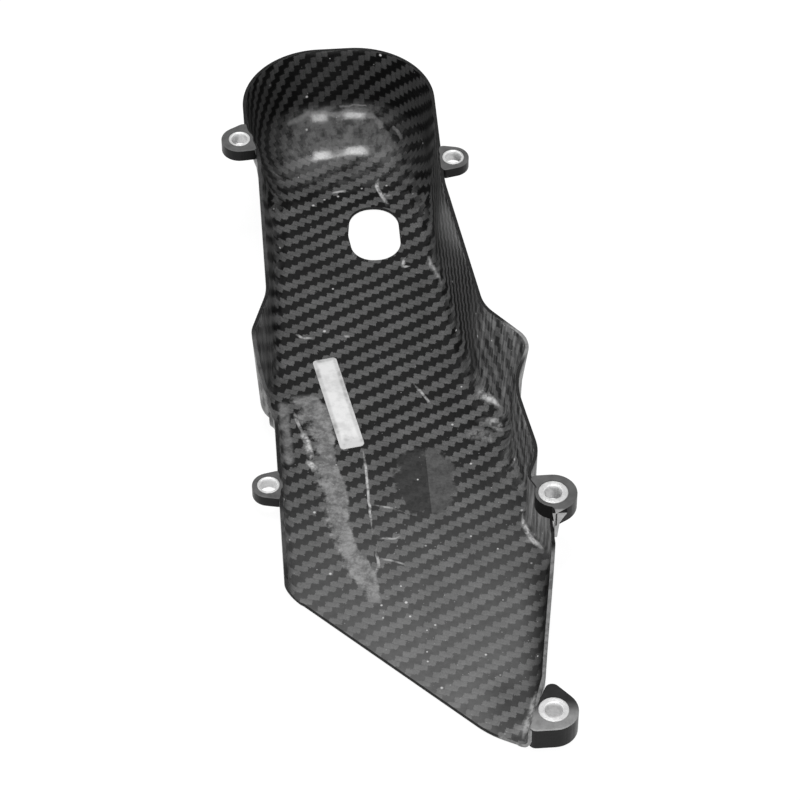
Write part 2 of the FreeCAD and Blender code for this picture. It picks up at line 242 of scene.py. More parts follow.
# Marks
def wander(points):
    """Short steps along a mark, swaying a little."""
    steps = []
    for start, end in zip(points, points[1:]):
        first, last = Vector(start), Vector(end)
        count = math.ceil((last - first).length / MARK_STEP)
        for k in range(count):
            spot = first.lerp(last, k / count)
            sway = noise.noise_vector(spot * MARK_SWAY) * MARK_SWAY * MARK_STEP
            steps.append(spot + Vector((sway.x, sway.y, 0.0)))
    return steps


def mark_points():
    """Places on the floor that follow the marks: along each and to both sides of it."""
    spots = []
    for points, half, strength in MARKS:
        if any(place[2] > WALL for place in points):
            continue
        steps = [step.to_2d() for step in wander(points)]
        for here, following in zip(steps, steps[1:]):
            way = (following - here).normalized()
            side = Vector((-way.y, way.x))
            spots += [here + side * (half * share) for share in (-1.0, -0.45, 0.0, 0.45, 1.0)]
    return spots


def note(mesh, name, domain, values):
    """Keeps a value for each point, corner or face of a mesh."""
    mesh.attributes.new(name, "FLOAT", domain)
    mesh.attributes[name].data.foreach_set("value", values)


def lay_marks(mesh):
    """How strong a mark is at each of a mesh's points."""
    steps = []
    for points, half, strength in MARKS:
        run = wander(points)
        for k, step in enumerate(run):
            taper = min(1.0, 0.3 + 3 * k / len(run), 0.3 + 3 * (1 - k / len(run)))
            steps.append((step, half * taper, min(1.0, 1.25 * strength) * taper))
    tree = kdtree.KDTree(len(steps))
    for number, (step, half, strength) in enumerate(steps):
        tree.insert(step, number)
    tree.balance()
    levels = []
    for point in mesh.vertices:
        place, number, away = tree.find(point.co / MM)
        step, half, strength = steps[number]
        levels.append(strength * (1.0 - smooth((away / half - 0.4) / 0.6)))
    note(mesh, "pale_mark", "POINT", levels)


def lay_rim_wear(mesh):
    """How far the rim is rubbed at each of a mesh's points."""
    levels = []
    for point in mesh.vertices:
        x, y, z = point.co / MM
        most = 0.0
        for low_x, high_x, low_y, high_y, pale in RUBBED_RIMS:
            if low_x < x < high_x:
                most = max(most, pale * smooth((min(y - low_y, high_y - y)) / RUB_SOFT))
        levels.append(most)
    note(mesh, "rim_wear", "POINT", levels)


# The moulded shell
def build_side_path():
    """Points round the side walls: place, outward way, foot rounding, lean and rim height."""
    feet = [FOOT_ENDS[0]] + [c[3] for c in WALL_CORNERS] + [FOOT_ENDS[1]]
    leans = [0.0] + [c[4] for c in WALL_CORNERS] + [0.0]
    path = []
    for place, way, share in rounded(WALL_CORNERS, False, WALL_START, WALL_END):
        out = Vector((way.y, -way.x))
        path.append((place, out, along(feet, share), along(leans, share), rim_height(place.x, place.y)))
    return path


def section(foot, lean, top):
    """One cut through a side wall, from the floor outside, over the rim, to the floor inside: how far in
    and how high each point is, how far the cloth has run up the wall, and whether it is a cut edge."""
    points = []

    def leaned(inset, z):
        return inset + lean * (1 - z / RIM_DEEP)

    for inside, radius, level in ((0.0, foot, 0.0), (WALL, foot - WALL, WALL)):
        row = []
        for i in range(FOOT_ROWS + 1):
            angle = math.pi / 2 * i / FOOT_ROWS
            z = level + radius * (1 - math.cos(angle))
            row.append((leaned(inside + radius * (1 - math.sin(angle)), z), z, radius * angle, False))
        low = level + radius
        for i in range(1, WALL_ROWS + 1):
            z = low + (top - EDGE_ROUND - low) * i / WALL_ROWS
            row.append((leaned(inside, z), z, radius * math.pi / 2 + z - low, False))
        points.append(row)
    outer, inner = points
    run = outer[-1][2] + EDGE_ROUND
    soft = EDGE_ROUND * (1 - math.sqrt(0.5))
    rim = [
        (leaned(soft, top - soft), top - soft, run, True),
        (leaned(EDGE_ROUND, top), top, run, True),
        (leaned(WALL / 2, top), top, run, True),
        (leaned(WALL - EDGE_ROUND, top), top, run, True),
        (leaned(WALL - soft, top - soft), top - soft, run, True),
    ]
    return outer + rim + inner[::-1]


def edge_point(place, out, inset, end):
    """Where a wall's last cut meets the open lower edge, for the two ends of the side path."""
    x, y = place - out * inset
    if end == "left":
        slope = (EDGE_KNEE[1] - WALL_END[1]) / (EDGE_KNEE[0] - WALL_END[0])
        return Vector((x, WALL_END[1] + slope * (x - WALL_END[0])))
    if x > EDGE_TURN[0]:
        return Vector((x, EDGE_TURN[1]))
    slope = (EDGE_KNEE[1] - EDGE_TURN[1]) / (EDGE_KNEE[0] - EDGE_TURN[0])
    return Vector((x, EDGE_TURN[1] + slope * (x - EDGE_TURN[0])))


class Cloth:
    """A mesh in the making, with the cloth's lie on each corner: flat, up the wall, and the share of wall."""

    def __init__(self):
        self.points, self.faces, self.flat, self.risen, self.share, self.kind = [], [], [], [], [], []

    def point(self, x, y, z):
        self.points.append((x * MM, y * MM, z * MM))
        return len(self.points) - 1

    def outlines(self, levels):
        """Points along outlines, each at its height."""
        return [[self.point(p.x, p.y, z) for p in spots] for spots, z in levels]

    def face(self, corners, flat, risen, share, kind):
        self.faces.append(corners)
        self.flat.append(flat)
        self.risen.append(risen)
        self.share.append(share)
        self.kind.append(kind)

    def flat_face(self, corners, kind=CLOTH):
        """A face whose cloth lies as it is seen from above."""
        lie = [(self.points[c][0] / MM, self.points[c][1] / MM) for c in corners]
        self.face(corners, lie, lie, [0.0] * len(corners), kind)

    def strip(self, first, second, kind=EDGE, closed=True):
        """Faces between two loops of points with the same count."""
        count = len(first)
        for k in range(count if closed else count - 1):
            n = (k + 1) % count
            self.flat_face([first[k], first[n], second[n], second[k]], kind)


def fill(cloth, loop, holes, z, up, spacing=0.0, kind=CLOTH, extra=()):
    """A flat face inside a loop and around holes, with inner points on a grid where a spacing is given, and
    extra points."""
    spots = [Vector(p) for p in loop]
    edges = [(k, (k + 1) % len(loop)) for k in range(len(loop))]
    for hole in holes:
        base = len(spots)
        spots += [Vector(p) for p in hole]
        edges += [(base + k, base + (k + 1) % len(hole)) for k in range(len(hole))]
    if spacing:
        lows = [min(p[i] for p in loop) for i in (0, 1)]
        highs = [max(p[i] for p in loop) for i in (0, 1)]
        border = list(spots)
        for i in range(int((highs[0] - lows[0]) / spacing) + 1):
            for j in range(int((highs[1] - lows[1]) / spacing) + 1):
                spot = Vector((lows[0] + spacing * (i + 0.5 * (j % 2)), lows[1] + spacing * j))
                if min((spot - b).length_squared for b in border) < (0.7 * spacing) ** 2:
                    continue
                if within(spot, loop) and not any(within(spot, hole) for hole in holes):
                    spots.append(spot)
        for spot in extra:
            if min((spot - b).length for b in border) > EDGE_ROUND and within(spot, loop):
                spots.append(spot)
    places, unused, faces, *rest = delaunay_2d_cdt(spots, edges, [], 1, 1e-4)
    numbers = [cloth.point(p.x, p.y, z) for p in places]
    for corners in faces:
        middle = sum((places[c] for c in corners), Vector((0, 0))) / len(corners)
        if any(within(middle, hole) for hole in holes) or not within(middle, loop):
            continue
        area = (places[corners[1]] - places[corners[0]]).cross(places[corners[2]] - places[corners[0]])
        ordered = corners if (area > 0) == up else corners[::-1]
        cloth.flat_face([numbers[c] for c in ordered], kind)


def within(spot, loop):
    """Whether a place is inside a closed loop."""
    inside = False
    for k in range(len(loop)):
        (x0, y0), (x1, y1) = loop[k - 1], loop[k]
        if (y0 > spot[1]) != (y1 > spot[1]) and spot[0] < x0 + (x1 - x0) * (spot[1] - y0) / (y1 - y0):
            inside = not inside
    return inside


def build_walls(cloth, path):
    """The side walls with their rim, and where they meet the floor, outside and inside."""
    distance = 0.0
    rows, runs, meets = [], [], []
    for k, (place, out, foot, lean, top) in enumerate(path):
        if k:
            distance += (place - path[k - 1][0]).length
        end = "right" if k == 0 else "left" if k == len(path) - 1 else None
        row = []
        for inset, z, run, cut in section(foot, lean, top):
            spot = edge_point(place, out, inset, end) if end else place - out * inset
            share = smooth((z - WALL) / min(WALL_RISE, 0.8 * foot))
            row.append((cloth.point(spot.x, spot.y, z), spot, run, share, cut))
        rows.append(row)
        runs.append(distance)
        meets.append((row[0][1], row[-1][1]))
    for a, b, run_a, run_b in zip(rows, rows[1:], runs, runs[1:]):
        for k in range(len(a) - 1):
            corners = [a[k], b[k], b[k + 1], a[k + 1]]
            places = [run_a, run_b, run_b, run_a]
            flat = [tuple(c[1]) for c in corners]
            risen = [(place, c[2]) for place, c in zip(places, corners)]
            share = [c[3] for c in corners]
            kind = EDGE if corners[0][4] and corners[3][4] else CLOTH
            cloth.face([c[0] for c in corners], flat, risen, share, kind)
    half = len(rows[0]) // 2
    for row, turned in ((rows[0], False), (rows[-1], True)):
        x, y = row[0][1]
        square = [cloth.point(x, y, z) for z in (WALL - EDGE_ROUND, EDGE_ROUND)]
        for k in range(half):
            corners = [row[k][0], row[k + 1][0], row[-2 - k][0], row[-1 - k][0]]
            if k == 0:
                corners += square
            if k == half - 1:
                corners = [row[k][0], row[k + 1][0], row[-1 - k][0]]
            cloth.flat_face(corners[::-1] if turned else corners, EDGE)
    return meets


def build_floor(cloth, meets):
    """The floor with its open lower edge and the inspection hole, both cut square and eased."""
    outside, inside = [pair[0] for pair in meets], [pair[1] for pair in meets]
    turn = [(*EDGE_KNEE, KNEE_ROUND)]
    edge = [place for place, way, share in rounded(turn, False, outside[-1], outside[0])]
    eased = []
    for k, spot in enumerate(edge):
        way = (edge[min(k + 1, len(edge) - 1)] - edge[max(k - 1, 0)]).normalized()
        back = 0.0 if k in (0, len(edge) - 1) else EDGE_ROUND
        eased.append(spot + Vector((-way.y, way.x)) * back)
    upper_edge = [inside[-1]] + edge[1:-1] + [inside[0]]
    upper_eased = [inside[-1]] + eased[1:-1] + [inside[0]]
    hole, hole_eased = [], []
    for place, way, share in rounded(HOLE_CORNERS, True):
        spot = place + Vector(HOLE_PLACE)
        hole.append(spot)
        hole_eased.append(spot + Vector((way.y, -way.x)) * EDGE_ROUND)
    fill(cloth, inside[:-1] + upper_eased[:-1], [hole_eased], WALL, True, FLOOR_STEP, extra=mark_points())
    fill(cloth, outside[:-1] + eased[:-1], [hole_eased], 0.0, False, 2 * FLOOR_STEP)
    levels = [(upper_eased, WALL), (upper_edge, WALL - EDGE_ROUND), (edge, EDGE_ROUND), (eased, 0.0)]
    lines = cloth.outlines(levels)
    for upper, lower in zip(lines, lines[1:]):
        cloth.strip(lower, upper, closed=False)
    levels = [(hole_eased, WALL), (hole, WALL - EDGE_ROUND), (hole, EDGE_ROUND), (hole_eased, 0.0)]
    lines = cloth.outlines(levels)
    for upper, lower in zip(lines, lines[1:]):
        cloth.strip(upper, lower)


def nearest_wall(path, spot):
    """The number of the side path's nearest place, and how far in from it the spot is."""
    number = min(range(len(path)), key=lambda k: (path[k][0] - spot).length_squared)
    place, out = path[number][:2]
    return number, (place - spot).dot(out)


def ear_outline(path, centre, radius, collar, heading, flare):
    """An ear's outline with the way out at each point: round the tip, then back inside the wall and
    round the sleeve's collar."""
    way = math.radians(heading)
    out = Vector((math.cos(way), math.sin(way)))
    side = Vector((-out.y, out.x))
    tip = radius / math.sin(math.radians(flare))
    half_base = (tip + EAR_REACH) * math.tan(math.radians(flare))
    root = out * -EAR_REACH
    corners = [(out * tip, radius), (root + side * half_base, EAR_ROOT), (root - side * half_base, EAR_ROOT)]
    around = []
    for place, along_way, share in rounded([(c.x, c.y, r) for c, r in corners], True):
        number, depth = nearest_wall(path, centre + place)
        around.append((centre + place, Vector((along_way.y, -along_way.x)), number, depth <= EAR_SUNK))
    first = next(k for k in range(len(around)) if around[k][3] and not around[k - 1][3])
    around = around[first:] + around[:first]
    outside = around[:[item[3] for item in around].index(False)]
    outline = [(spot, away) for spot, away, number, seen in outside]
    for number in range(outside[-1][2] - 1, outside[0][2], -1):
        place, wall_out = path[number][:2]
        arm = place - wall_out * EAR_SUNK - centre
        if arm.length < collar:
            outline.append((centre + arm.normalized() * collar, arm.normalized()))
        else:
            outline.append((centre + arm, Vector((0.0, 0.0))))
    return outline


def build_ear(cloth, path, x, y, radius, sleeve, top, thick, heading, flare):
    """A flat ear: a rounded tip around the sleeve's seat, its sides widening back into the wall."""
    centre = Vector((x, y))
    outline = ear_outline(path, centre, radius, sleeve + COLLAR, heading, flare)
    loop = [spot for spot, away in outline]
    eased = [spot - away * EDGE_ROUND for spot, away in outline]
    seat = sleeve + SEAT_CLEARANCE
    turns = [math.tau * k / SEAT_POINTS for k in range(SEAT_POINTS)]
    ring = [centre + Vector((math.cos(turn), math.sin(turn))) * seat for turn in turns]
    high, low = top + EAR_PROUD, top - thick
    fill(cloth, eased, [ring], high, True, kind=FACE)
    fill(cloth, eased, [ring], low, False, kind=RESIN_SHADE)
    levels = [(eased, high), (loop, high - EDGE_ROUND), (loop, low + EDGE_ROUND), (eased, low)]
    lines = cloth.outlines(levels)
    for upper, lower, kind in zip(lines, lines[1:], (FACE, RESIN_SHADE, RESIN_SHADE)):
        cloth.strip(lower, upper, kind)
    cloth.strip(*cloth.outlines([(ring, high), (ring, low)]), RESIN_SHADE)


def build_gusset(cloth):
    """The web that carries the middle right ear on the low wall, wide at its top."""
    front = [cloth.point(x, GUSSET_Y, z) for x, z in GUSSET_FRONT]
    back = [cloth.point(x, GUSSET_Y + GUSSET_THICK, z) for x, z in GUSSET_FRONT]
    for low, high in (((0, 1), (2, 5)), ((5, 2), (3, 4))):
        cloth.flat_face([front[k] for k in low + high], FACE)
        cloth.flat_face([back[k] for k in low + high][::-1], RESIN_SHADE)
    cloth.strip(back, front, RESIN_SHADE)


def build_shell():
    """The whole shell as one object, its cloth's lie in two maps and its share of wall in an attribute."""
    cloth = Cloth()
    path = build_side_path()
    build_floor(cloth, build_walls(cloth, path))
    for sizes in EARS.values():
        build_ear(cloth, path, *sizes)
    build_gusset(cloth)
    mesh = bpy.data.meshes.new("carbon_shell")
    mesh.from_pydata(cloth.points, [], cloth.faces)
    for name, lie in (("cloth_flat", cloth.flat), ("cloth_risen", cloth.risen)):
        mesh.uv_layers.new(name=name)
        values = [v for face in lie for corner in face for v in corner]
        mesh.uv_layers[name].uv.foreach_set("vector", values)
    note(mesh, "wall_share", "CORNER", [v for face in cloth.share for v in face])
    for name, kind in KIND_NAMES.items():
        note(mesh, name, "FACE", [float(k == kind) for k in cloth.kind])
    work = bmesh.new()
    work.from_mesh(mesh)
    bmesh.ops.remove_doubles(work, verts=work.verts, dist=CLOSE_GAP * MM)
    for edge in work.edges:
        edge.smooth = len(edge.link_faces) == 2 and edge.calc_face_angle(0.0) < SHARP_TURN
    for face in work.faces:
        face.smooth = True
    work.to_mesh(mesh)
    work.free()
    lay_marks(mesh)
    lay_rim_wear(mesh)
    shell = bpy.data.objects.new("carbon_shell", mesh)
    bpy.context.scene.collection.objects.link(shell)
    return shell


# Turned sleeves
def build_sleeve_tree():
    """Geometry nodes for one turned sleeve: a ring with eased corners, which notes each point's distance
    from the axis."""
    tree = bpy.data.node_groups.new("turned_sleeve", "GeometryNodeTree")
    kinds = {"Place": "Vector", "Finish": "Material"}
    for name in ("Outer Radius", "Bore Radius", "Length", "Corner", "Place", "Finish"):
        kind = "NodeSocket" + kinds.get(name, "Float")
        tree.interface.new_socket(name=name, in_out="INPUT", socket_type=kind)
    tree.interface.new_socket(name="Sleeve", in_out="OUTPUT", socket_type="NodeSocketGeometry")
    s = Shades(tree)
    given = s.add("NodeGroupInput").outputs
    outer, bore = given["Outer Radius"], given["Bore Radius"]

    def step(kind, settings={}, **values):
        return s.named(s.add("GeometryNode" + kind, **settings), **values)[0]

    middle = s.times(s.math("ADD", outer, bore), 0.5)
    ring = step("CurvePrimitiveCircle", Resolution=SLEEVE_POINTS, Radius=middle)
    cut = step("CurvePrimitiveQuadrilateral", Width=s.less(outer, bore), Height=given["Length"])
    eased = step("FilletCurve", {"mode": "POLY"}, Count=4, Curve=cut, Radius=given["Corner"])
    turned = step("CurveToMesh", Curve=ring, Profile_Curve=eased)
    x, y, z = s.add("ShaderNodeSeparateXYZ", step("InputPosition")).outputs
    reach = s.math("SQRT", s.math("ADD", s.times(x, x), s.times(y, y)))
    noted = step("StoreNamedAttribute", Geometry=turned, Name="turn_radius", Value=reach)
    placed = step("Transform", Geometry=noted, Translation=given["Place"])
    real = step("RealizeInstances", Geometry=placed)
    finished = step("SetMaterial", Geometry=real, Material=given["Finish"])
    s.feed(s.add("NodeGroupOutput").inputs[0], finished)
    return tree


def turn_sleeve(tree, name, outer, place, length, finish):
    """One sleeve as a plain mesh."""
    blank = bpy.data.objects.new(name, bpy.data.meshes.new(name))
    bpy.context.scene.collection.objects.link(blank)
    turning = blank.modifiers.new("turning", "NODES")
    turning.node_group = tree
    values = {"Outer Radius": outer * MM, "Bore Radius": SLEEVE_BORE * MM, "Length": length * MM,
              "Corner": SLEEVE_CORNER * MM, "Place": [v * MM for v in place], "Finish": finish}
    for item in tree.interface.items_tree:
        if item.name in values:
            turning[item.identifier] = values[item.name]
    bpy.context.view_layer.update()
    evaluated = blank.evaluated_get(bpy.context.evaluated_depsgraph_get())
    mesh = bpy.data.meshes.new_from_object(evaluated)
    blank.modifiers.remove(turning)
    blank.data = mesh
    for polygon in mesh.polygons:
        polygon.use_smooth = True
    return blank


# Shader nodes
class Shades:
    """Short calls for the nodes of one material or group."""

    def __init__(self, tree):
        self.nodes, self.links = tree.nodes, tree.links

    def add(self, kind, *values, **settings):
        node = self.nodes.new(kind)
        for name, value in settings.items():
            setattr(node, name, value)
        for socket, value in zip(node.inputs, values):
            self.feed(socket, value)
        return node

    def feed(self, socket, value):
        if isinstance(value, bpy.types.NodeSocket):
            self.links.new(value, socket)
        elif value is not None:
            socket.default_value = value

    def math(self, operation, *values):
        return self.add("ShaderNodeMath", *values, operation=operation).outputs[0]

    def times(self, a, b):
        return self.math("MULTIPLY", a, b)

    def most(self, a, b):
        return self.math("MAXIMUM", a, b)

    def less(self, a, b):
        return self.math("SUBTRACT", a, b)

    def scale(self, value, by, plus):
        return self.math("MULTIPLY_ADD", value, by, plus)

    def vector(self, operation, *values):
        node = self.add("ShaderNodeVectorMath", *values, operation=operation)
        return node.outputs["Value" if operation in ("LENGTH", "DOT_PRODUCT", "DISTANCE") else "Vector"]

    def stretch(self, value, by):
        """A vector made longer or shorter."""
        node = self.add("ShaderNodeVectorMath", value, operation="SCALE")
        self.feed(node.inputs["Scale"], by)
        return node.outputs[0]

    def ramp(self, value, low, high, first=0.0, last=1.0):
        """A soft step of a value from one level to another."""
        steps = (value, low, high, first, last)
        return self.add("ShaderNodeMapRange", *steps, interpolation_type="SMOOTHSTEP").outputs[0]

    def mix(self, share, a, b):
        """A value between two."""
        node = self.nodes.new("ShaderNodeMix")
        for socket, value in ((node.inputs[0], share), (node.inputs[2], a), (node.inputs[3], b)):
            self.feed(socket, value)
        return node.outputs[0]

    def named(self, node, **values):
        """A node's outputs, once its inputs are given by name with _ for a space."""
        for name, value in values.items():
            self.feed(node.inputs[name.replace("_", " ")], value)
        return node.outputs

    def clouds(self, place, scale, detail, rough):
        node = self.add("ShaderNodeTexNoise")
        return self.named(node, Vector=place, Scale=scale, Detail=detail, Roughness=rough)

    def noise(self, place, scale, detail=2.0, rough=0.5):
        return self.clouds(place, scale, detail, rough)[0]

    def sway(self, place, by, scale, detail=2.0, rough=0.5):
        """A small shift that drifts from place to place."""
        drift = self.clouds(place, scale, detail, rough)["Color"]
        return self.stretch(self.vector("SUBTRACT", drift, (0.5, 0.5, 0.5)), by)

    def use(self, group, **values):
        """A shared group placed with its own values."""
        return self.named(self.add("ShaderNodeGroup", node_tree=group), **values)

    def attribute(self, name):
        return self.add("ShaderNodeAttribute", attribute_name=name).outputs["Fac"]

    def millimetres(self):
        """The place on the piece, in millimetres."""
        return self.stretch(self.add("ShaderNodeTexCoord").outputs["Object"], 1.0 / MM)

    def paint(self, shader, level):
        """A grey that changes over the surface."""
        made = self.add("ShaderNodeCombineColor", level, level, level)
        self.feed(shader.inputs["Base Color"], made.outputs[0])

    def emboss(self, shader, height, strength, depth):
        """Fine relief, its depth in millimetres."""
        bump = self.add("ShaderNodeBump")
        bump.inputs["Strength"].default_value = strength
        bump.inputs["Distance"].default_value = depth * MM
        self.feed(bump.inputs["Height"], height)
        self.feed(shader.inputs["Normal"], bump.outputs[0])


def new_group(name, inputs, outputs):
    """An empty shared group with float and vector sockets: its nodes, inputs and outputs."""
    tree = bpy.data.node_groups.new(name, "ShaderNodeTree")
    for socket, kind, value in inputs:
        made = tree.interface.new_socket(name=socket, in_out="INPUT", socket_type="NodeSocket" + kind)
        if value is not None:
            made.default_value = value
    for socket in outputs:
        tree.interface.new_socket(name=socket, in_out="OUTPUT", socket_type="NodeSocketFloat")
    shades = Shades(tree)
    return tree, shades, shades.add("NodeGroupInput").outputs, shades.add("NodeGroupOutput").inputs


def new_material(name):
    """A material, its nodes and its main shader."""
    material = bpy.data.materials.new(name)
    material.use_nodes = True
    return material, material.node_tree, material.node_tree.nodes["Principled BSDF"]


def grey(level):
    return (level, level, level, 1.0)


def twill_group():
    """Two-over-two twill on a lie in millimetres: where the weft, later painted pale as a painted sheen, is
    on top, height and streaks.
    """
    inputs = [("Lie", "Vector", None), ("Pitch", "Float", 2.0), ("Turn", "Float", 0.0),
              ("Wander", "Float", 0.3)]
    group, s, given, made = new_group("twill_weave", inputs, ["Weft", "Height", "Streak"])
    turned = s.add("ShaderNodeVectorRotate", given["Lie"], rotation_type="Z_AXIS")
    s.feed(turned.inputs["Angle"], given["Turn"])
    pitch = s.add("ShaderNodeCombineXYZ", given["Pitch"], given["Pitch"], 1.0)
    tows = s.vector("DIVIDE", turned.outputs[0], pitch.outputs[0])
    drift = s.sway(given["Lie"], given["Wander"], 0.05, 3.0, 0.62)
    lain = s.vector("ADD", s.vector("ADD", tows, drift), s.sway(given["Lie"], TOW_FRAY, 2.4))
    u, v, up = s.add("ShaderNodeSeparateXYZ", lain).outputs
    i, j = s.math("FLOOR", u), s.math("FLOOR", v)

    def repeat(a, b):
        return s.math("FLOORED_MODULO", s.less(a, b), 4.0)

    def arch(across, place):
        crown = s.math("POWER", s.math("SINE", s.times(s.math("FRACT", across), math.pi)), 0.6)
        hump = s.math("SINE", s.times(place, math.pi))
        return s.times(crown, s.scale(hump, 0.5, 0.5))

    def fibres(scale_u, scale_v):
        lie = s.add("ShaderNodeCombineXYZ", s.times(u, scale_u), s.times(v, scale_v), 0.0)
        return s.noise(lie.outputs[0], 1.0, 2.0, 0.6)

    weft = s.math("GREATER_THAN", repeat(j, i), 1.5)
    warp_place = s.times(repeat(v, i), 0.5)
    weft_place = s.times(s.less(repeat(u, j), 1.0), 0.5)
    s.feed(made["Weft"], weft)
    s.feed(made["Height"], s.mix(weft, arch(u, warp_place), arch(v, weft_place)))
    s.feed(made["Streak"], s.mix(weft, fibres(14.0, 0.7), fibres(0.7, 14.0)))
    return group


def stroke_group():
    """How far a place is from a straight stroke, in millimetres and with a wobble."""
    inputs = [("Place", "Vector", None), ("Start", "Vector", (0, 0, 0)), ("End", "Vector", (1, 0, 0)),
              ("Wobble", "Float", 0.9)]
    group, s, given, made = new_group("stroke", inputs, ["Away"])
    place = s.vector("ADD", given["Place"], s.sway(given["Place"], given["Wobble"], 0.35))
    run = s.vector("SUBTRACT", given["End"], given["Start"])
    reach = s.vector("SUBTRACT", place, given["Start"])
    share = s.math("DIVIDE", s.vector("DOT_PRODUCT", reach, run), s.vector("DOT_PRODUCT", run, run))
    foot = s.stretch(run, s.add("ShaderNodeClamp", share).outputs[0])
    s.feed(made["Away"], s.vector("DISTANCE", reach, foot))
    return group


def dust_group():
    """Scattered specks: light grains of a few sizes on a place in millimetres."""
    inputs = [("Place", "Vector", None), ("Grain", "Float", 0.25), ("Amount", "Float", 0.5)]
    group, s, given, made = new_group("dust_specks", inputs, ["Speck"])
    cells = s.add("ShaderNodeTexVoronoi", given["Place"])
    s.feed(cells.inputs["Scale"], given["Grain"])
    chance = s.add("ShaderNodeSeparateColor", cells.outputs["Color"]).outputs
    size = s.scale(chance[1], 0.1, 0.06)
    dot = s.ramp(cells.outputs["Distance"], s.times(size, 0.4), size, 1.0, 0.0)
    s.feed(made["Speck"], s.times(dot, s.math("LESS_THAN", chance[0], given["Amount"])))
    return group


# Finishes
TOW_PITCH, TOW_FRAY, TOW_WANDER = 2.0, 0.6, 1.3
FLOOR_TURN, WALL_TURN = math.radians(15.4), math.radians(-90)
SIDES_BEGIN = 90.0
# Painted sheen: weft tows are painted pale and warp tows near black, for how each lie of tow catches the
# light
WARP_SHADED_GREY, WEFT_SHEEN_GREY = 0.008, 0.105
# Painted shade: bare resin on the ears' sides and undersides and on the gusset is painted near black
RESIN_SHADE_GREY, MARK_AND_GLINT_GREY = 0.006, 0.6

# Side lobes and the scoop by the middle right ear, from and to, in y: where the walls carry streaks, partly
# drawn cloth and partly painted reflection, with painted light in the scoop
LOBES_BEGIN, SCOOP_BEGIN, SCOOP_END = (26.0, 14.0), (-40.0, -47.0), (-66.0, -60.0)
# Painted shade that darkens the walls towards the round end, and painted light that lightens them towards the
# lobes
END_PAINTED_SHADE, END_SHARE = (84.0, 104.0), 0.4
LOBE_PAINTED_LIGHT, LOBE_SHARE = (20.0, -8.0), 1.5
# Painted shade in the corner of the low right wall: the wall's line, x from y, how far it spreads, where it
# begins
LOW_WALL_SLOPE, LOW_WALL_X, CORNER_SHADE_REACH = 0.155, 52.5, 11.0
CORNER_SHADE_BEGIN, CORNER_SHADE_SHARE = (-60.0, -68.0), 0.12
# The grey over the lower floor, partly hazy resin and partly a painted sheen, thinner at its tip
FILM_SHEEN_SPREAD, FILM_SHEEN_GREY, FILM_SHEEN_SHARE = (0.0, -120.0), 0.23, 0.42
TIP_X, TIP_Y, TIP_CLEAR = (12.0, 24.0), (-98.0, -114.0), 0.6
# Thick clear resin in the end's rounding, with a painted highlight in its middle
POOL_Y, POOL_Z = (98.0, 110.0), (17.0, 12.0)
HIGHLIGHT_X, HIGHLIGHT_FADE, HIGHLIGHT_GREY = -11.0, (28.0, 12.0), 0.24
# Pale fronts of the two right ears, from and to in y, and how pale
LOW_EAR_FRONT, LOW_EAR_PALE = (-121.0, -128.0), 0.24
WEB_FRONT, WEB_END, WEB_PALE = (-60.6, -61.4), (-66.0, -64.0), 0.2
# Painted shade on the lower right ear's top, behind its pale front: from and to in y
LOW_EAR_SHADE = (-115.0, -110.0)

# The label's centre, width, length and turn
LABEL = (-17.9, 6.0, 7.6, 38.6, 9.8)

# The smear of old adhesive down the floor: x, y and half width along its way
SMEAR = [
    (-30.0, 11.0, 4.2), (-26.4, 3.0, 5.6), (-23.7, -6.6, 3.9), (-23.2, -18.7, 3.6), (-21.9, -31.1, 4.8),
    (-21.2, -42.8, 3.8), (-19.4, -51.8, 3.4), (-16.3, -60.7, 4.4), (-14.0, -66.7, 3.4), (-12.2, -77.0, 1.6),
]
SMEAR_REACH = 8.0
SMEAR_GREYS = (0.12, 0.31)
GOUGE = ((-31.5, -2.5, WALL), (-30.5, -18.0, WALL))
GOUGE_HALF = 2.6
SMEAR_BAND = ((-35.0, 6.0, WALL), (-34.6, -17.0, WALL))
BAND_HALF = 2.2

# Ridges in the resin of the end's rounding, raised as bumps and painted pale as painted highlights
WRINKLES = [
    ([(-26.2, 125.0, 11.1), (-20.0, 127.6, 12.6), (-8.5, 128.0, 10.9), (0.7, 127.0, 10.5), (4.0, 124.5, 8.5)],
     1.5),
    ([(-9.4, 128.9, 13.8), (-0.7, 128.5, 13.9)], 0.6),
    ([(7.9, 122.2, 9.0), (10.3, 119.0, 8.1)], 0.9),
]

# The round stain without weave: centre, half length and width, where its pale side begins, and its greys
STAIN = (6.4, -28.5, 9.0, 13.2)
STAIN_SPLIT = 7.4
STAIN_GREYS = (0.035, 0.085)


